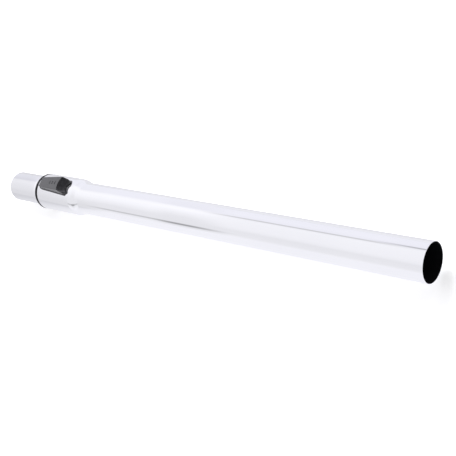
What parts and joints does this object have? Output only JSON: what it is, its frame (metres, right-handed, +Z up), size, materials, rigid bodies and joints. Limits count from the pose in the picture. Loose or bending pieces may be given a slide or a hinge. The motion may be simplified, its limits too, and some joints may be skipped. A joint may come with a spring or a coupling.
{
  "type": "telescopic vacuum wand",
  "caption": "Straight chromed telescopic vacuum wand: an inner tube slides in a flared outer tube and locks with a sliding thumb button; nozzle spigot at one end, handle socket at the other.",
  "frame": {"origin": "on the tubes' axis at the tip of the nozzle spigot", "axes": "+X along the wand from the nozzle spigot to the handle socket, +Z up through the thumb button, -Y the side nearer the viewer of the picture"},
  "size_m": [0.5416, 0.0408, 0.0496],
  "materials": {
    "chrome_steel": "bright chromium plate on thin steel tube",
    "sleeve_plastic": "black moulded plastic, fine satin",
    "button_plastic": "dark grey moulded plastic, fine satin",
    "seal_rubber": "soft black elastomer",
    "bush_plastic": "natural white slide plastic",
    "key_plastic": "natural acetal",
    "pin_steel": "ground dowel",
    "spring_steel": "drawn spring wire"
  },
  "bodies": {
    "outer": {"outer_tube": "chrome_steel", "guide_sleeve": "sleeve_plastic", "wiper_seal": "seal_rubber", "return_spring": "spring_steel"},
    "inner": {"inner_tube": "chrome_steel", "glide_bush": "bush_plastic"},
    "button": {"thumb_button": "button_plastic"},
    "lock": {"lock_key": "key_plastic", "lock_pin": "pin_steel"}
  },
  "joints": [
    {"name": "tube_slide", "type": "slide", "parent": "outer", "child": "inner", "axis": [-1, 0, 0], "range_m": [0, 0.336]},
    {"name": "button_slide", "type": "slide", "parent": "outer", "child": "button", "axis": [-1, 0, 0], "range_m": [0, 0.005], "stiffness_N_per_m": 400, "springref_m": -0.004, "deforming": ["return_spring"]},
    {"name": "lock_lift", "type": "slide", "parent": "outer", "child": "lock", "axis": [0, 0, 1], "range_m": [0, 0.0015]}
  ],
  "couplings": [
    {"joint": "lock_lift", "follows": "button_slide", "ratio": 0.3}
  ]
}
